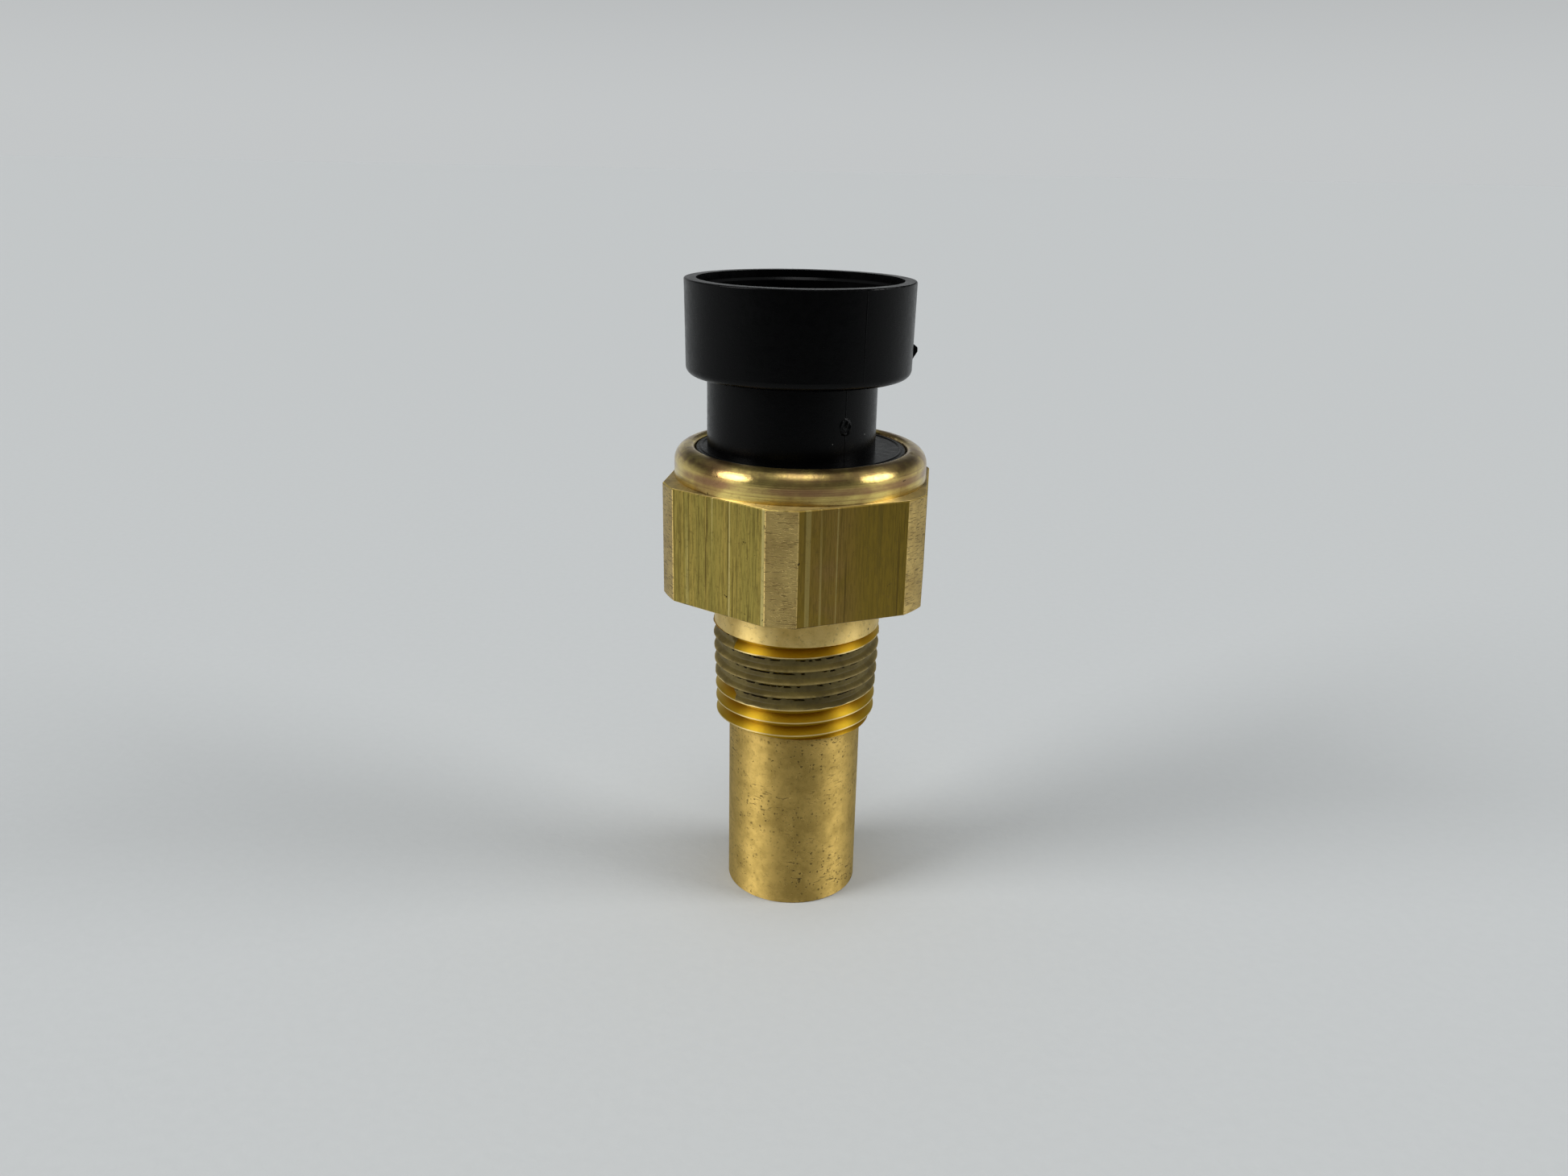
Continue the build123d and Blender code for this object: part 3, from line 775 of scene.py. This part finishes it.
add_gate_scar(
    neck_line_turn, height=flange_top + 3.3 * MM, width=1.6 * MM, tall=1.9 * MM, proud=0.22 * MM
)


# %% Flange ring
def add_ring_bead(name, radius, height, width, proud):
    """A low bead round the axis on a flat face."""
    around, across = 160, 10
    points, faces = [], []
    for i in range(around):
        angle = 2 * math.pi * i / around
        for j in range(across):
            turn = 2 * math.pi * j / across
            reach = radius + width / 2 * math.cos(turn)
            points.append((
                reach * math.cos(angle), reach * math.sin(angle), height + proud * math.sin(turn)
            ))
    for i in range(around):
        for j in range(across):
            k, m = (i + 1) % around, (j + 1) % across
            faces.append((i * across + j, k * across + j, k * across + m, i * across + m))
    add_plastic_piece(name, points, faces)


add_ring_bead("flange_ring", radius=9.85 * MM, height=flange_top, width=0.30 * MM, proud=0.08 * MM)

# %% [markdown]
# ## Pieces inside
#
# The terminals' blades can be seen down the socket. The rest is hidden while the switch is whole,
# and shows only when it is taken apart, so each piece gets its plain finish.


# %% Simple metals and rubbers
def plain_finish(name, colour, roughness, grain_scale, metallic, darkest, marks_deep):
    """One colour that varies a little, with fine marks; darkest is a share of the colour."""
    finish = Finish(name)
    marks = finish.noise(grain_scale, detail=4)
    finish.set(
        Base_Color=finish.mix(marks, colour, tuple(darkest * c for c in colour)),
        Metallic=metallic,
        Roughness=finish.scale_to(marks, roughness - 0.06, roughness + 0.08),
        Normal=finish.bump(marks, marks_deep),
    )
    return finish.material


def plain_metal(name, colour, roughness, grain_scale):
    return plain_finish(name, colour, roughness, grain_scale, 1.0, 0.8, 0.008 * MM)


def plain_polymer(name, colour, roughness, grain_scale):
    return plain_finish(name, colour, roughness, grain_scale, 0.0, 0.75, 0.01 * MM)


dress(plain_metal("tinned_strip", (0.68, 0.67, 0.64), 0.28, 900),
      "fixed_terminal", "common_terminal")
dress(plain_metal("contact_silver", (0.84, 0.83, 0.80), 0.22, 1200),
      "fixed_contact", "moving_contact")
dress(plain_metal("spring_copper", (0.80, 0.52, 0.30), 0.25, 900), "contact_arm", "arm_rivet")
dress(plain_metal("plated_steel", (0.58, 0.58, 0.57), 0.30, 700),
      "guide_ring", "disc_spacer_ring", "piston")
dress(plain_metal("spring_steel", (0.50, 0.50, 0.51), 0.20, 700), "snap_disc")
dress(plain_metal("sintered_bronze", (0.45, 0.30, 0.16), 0.55, 2600), "port_filter")
dress(plain_polymer("seal_rubber", (0.018, 0.018, 0.018), 0.55, 900),
      "pressure_seal_ring", "housing_seal_ring")
dress(plain_polymer("amber_film", (0.55, 0.26, 0.04), 0.20, 500), "diaphragm", "backup_film")
dress(plain_polymer("dried_sealant", (0.16, 0.15, 0.085), 0.6, 900), "thread_sealant")

# %% [markdown]
# ## The sealant on the thread
#
# The thread was coated at the works with a liquid sealant, which dried to a dull grey-olive skin.
# It fills the roots of about four turns and is thin on the crests, whose paler colour is partly
# wear and partly a painted highlight. It leaves a row of voids under each crest where air was
# trapped, painted near black as painted shade. Its ends follow the thread and are ragged.
#
# A texture alone would leave the roots as deep as bare ones, so the coat is a mesh. Its points
# lie on a grid round the axis. At each point the thread's own radius is worked out, and the
# coat lies a little outside it, or up to the level of the fill, whichever stands further out.
# Past its ragged ends the skin dips just under the brass, so no edge shows.


# %% Thread geometry
crest_half_flat = 0.05 * MM
flank_slope = math.tan(math.radians(30))


def past_crest(angle, height):
    """How far up from the last crest, in pitches, a place on the thread lies, from 0 to 1."""
    first = snout_top - thread_start_drop + thread_pitch * angle / (2 * math.pi)
    return ((height - first) / thread_pitch) % 1.0


def crest_radius(height):
    """The radius over the crests, which grows up the taper."""
    return thread_small_radius + (height - snout_top) * thread_taper


def thread_radius(angle, height):
    """The bare thread's radius at a place."""
    part = past_crest(angle, height)
    off_crest = min(part, 1 - part) * thread_pitch
    sink = max(0.0, off_crest - crest_half_flat) / flank_slope
    return crest_radius(height) - min(thread_depth, sink)


def ragged(angle, height, scale, seed):
    """Smooth noise on the thread's surface, from -1 to 1."""
    place = Vector((math.cos(angle), math.sin(angle), 0)) * crest_radius(height)
    place.z = height
    return noise.noise(place * scale + Vector((seed, 0, 0)))


# %% Where the coat lies
coat_first_crest = 2
coat_turns = 4
coat_step_angle = math.radians(232)
coat_step_width = math.radians(16)
coat_ragged_low = 0.10 * MM
coat_ragged_high = 0.16 * MM
coat_edge_soft = 0.12 * MM


def clamped(value):
    return max(0.0, min(1.0, value))


def coat_edge(angle, crest):
    """Height of the crest that ends the coat; it drops back one turn at the step."""
    first = snout_top - thread_start_drop
    turned = (angle - coat_step_angle) % (2 * math.pi)
    start = first + thread_pitch * (crest + coat_step_angle / (2 * math.pi))
    ending = start + thread_pitch * turned / (2 * math.pi)
    if turned > 2 * math.pi - coat_step_width:
        share = (turned - 2 * math.pi + coat_step_width) / coat_step_width
        ending -= thread_pitch * share * share * (3 - 2 * share)
    return ending


def coat_cover(angle, height):
    """1 where the coat lies and 0 past its ragged ends."""
    low = coat_edge(angle, coat_first_crest) + coat_ragged_low * ragged(angle, height, 900, 3)
    high = coat_edge(angle, coat_first_crest + coat_turns)
    high += coat_ragged_high * ragged(angle, height, 700, 11)
    inside = min(height - low, high - height) / coat_edge_soft
    return clamped(inside + 0.5)


# %% How thick the coat is
coat_film = 0.035 * MM
coat_level = 0.47 * MM
coat_lumps = 0.05 * MM
coat_sag = 0.10 * MM
coat_sunk = 0.10 * MM
crest_reach = 0.13
void_place = 0.70
void_reach = 0.14
void_deep = 0.30 * MM


def coat_void(angle, height, cover):
    """How much of a void a place holds; a broken row of them lies under each crest, and the finish
    paints them near black as painted shade.
    """
    part = past_crest(angle, height)
    under_crest = max(0.0, 1 - abs(part - void_place) / void_reach)
    along = ragged(angle, height, 1700, 21) + 0.35 * ragged(angle, height, 260, 31)
    void = clamped((along + 0.06) / 0.10) * min(1.0, 1.6 * under_crest)
    return void * clamped((cover - 0.6) * 4)


def coat_place(angle, height):
    """The coat's radius at a place, how much of it is a void, and how near it is a crest."""
    bare = thread_radius(angle, height)
    part = past_crest(angle, height)
    cover = coat_cover(angle, height)
    lump = ragged(angle, height, 1100, 5)
    fill = crest_radius(height) - coat_level + coat_lumps * lump
    fill -= coat_sag * math.sin(math.pi * part)
    void = coat_void(angle, height, cover)
    outer = max(bare + coat_film * (1 + 0.5 * lump), fill) - void * void_deep
    crest = max(0.0, 1 - min(part, 1 - part) / crest_reach)
    return bare - coat_sunk + (outer - bare + coat_sunk) * cover, void, crest


# %% Sealant coat
def make_sealant_coat(columns, rows):
    """The coat's mesh; it carries void and crest, which its finish reads."""
    margin = 0.5 * MM
    low = coat_edge(coat_step_angle, coat_first_crest) - margin
    high = coat_edge(coat_step_angle - 0.3, coat_first_crest + coat_turns) + margin
    high = min(high, thread_top - edge)
    points, voids, crests = [], [], []
    for j in range(rows + 1):
        height = low + (high - low) * j / rows
        for i in range(columns):
            angle = 2 * math.pi * i / columns
            radius, void, crest = coat_place(angle, height)
            points.append((radius * math.cos(angle), radius * math.sin(angle), height))
            voids.append(void)
            crests.append(crest)
    made = new_object("sealant_coat", points, grid_faces(rows, columns, closed=True))
    made.data.attributes.new("void", "FLOAT", "POINT").data.foreach_set("value", voids)
    made.data.attributes.new("crest", "FLOAT", "POINT").data.foreach_set("value", crests)
    return made


coat = make_sealant_coat(columns=620, rows=150)
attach(coat, "switch_body")
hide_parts("thread_sealant")

# %% Sealant finish
skin_olive = (0.092, 0.068, 0.016)
skin_pale = (0.150, 0.115, 0.032)
skin_worn_and_highlight = (0.36, 0.27, 0.09)
crumb_brown = (0.07, 0.05, 0.02)
void_shade_black = (0.006, 0.004, 0.002)

sealant = Finish("sealant_coat")
cloudy = sealant.noise(330, detail=5, roughness=0.6)
crumb = sealant.noise(2800, detail=4, roughness=0.7)
void = sealant.add("ShaderNodeAttribute", attribute_name="void").outputs["Fac"]
crest = sealant.add("ShaderNodeAttribute", attribute_name="crest").outputs["Fac"]
skin = sealant.mix(sealant.step(cloudy, 0.35, 0.65), skin_olive, skin_pale)
# Wear and a painted highlight: the crests are lighter, where the thin skin shows brass and where
# light catches them.
crest_wear_and_highlight = sealant.both(crest, sealant.step(cloudy, 0.36, 0.56), 0.75)
skin = sealant.mix(crest_wear_and_highlight, skin, skin_worn_and_highlight)
skin = sealant.mix(sealant.both(sealant.step(crumb, 0.5, 0.68), 0.4), skin, crumb_brown)
crumbled_void = sealant.math("ADD", void, sealant.math("MULTIPLY", crumb, 0.5))
# Painted shade: the voids, which are real dips in the skin, are coloured near black.
shaded_hollow = sealant.step(crumbled_void, 0.44, 0.54)
skin = sealant.mix(sealant.both(shaded_hollow, 0.97), skin, void_shade_black)
sealant.set(
    Base_Color=skin,
    Roughness=sealant.scale_to(crumb, 0.42, 0.66),
    Specular_IOR_Level=0.25,
    Normal=sealant.bump(crumb, 0.03 * MM),
)
coat.data.materials.append(sealant.material)
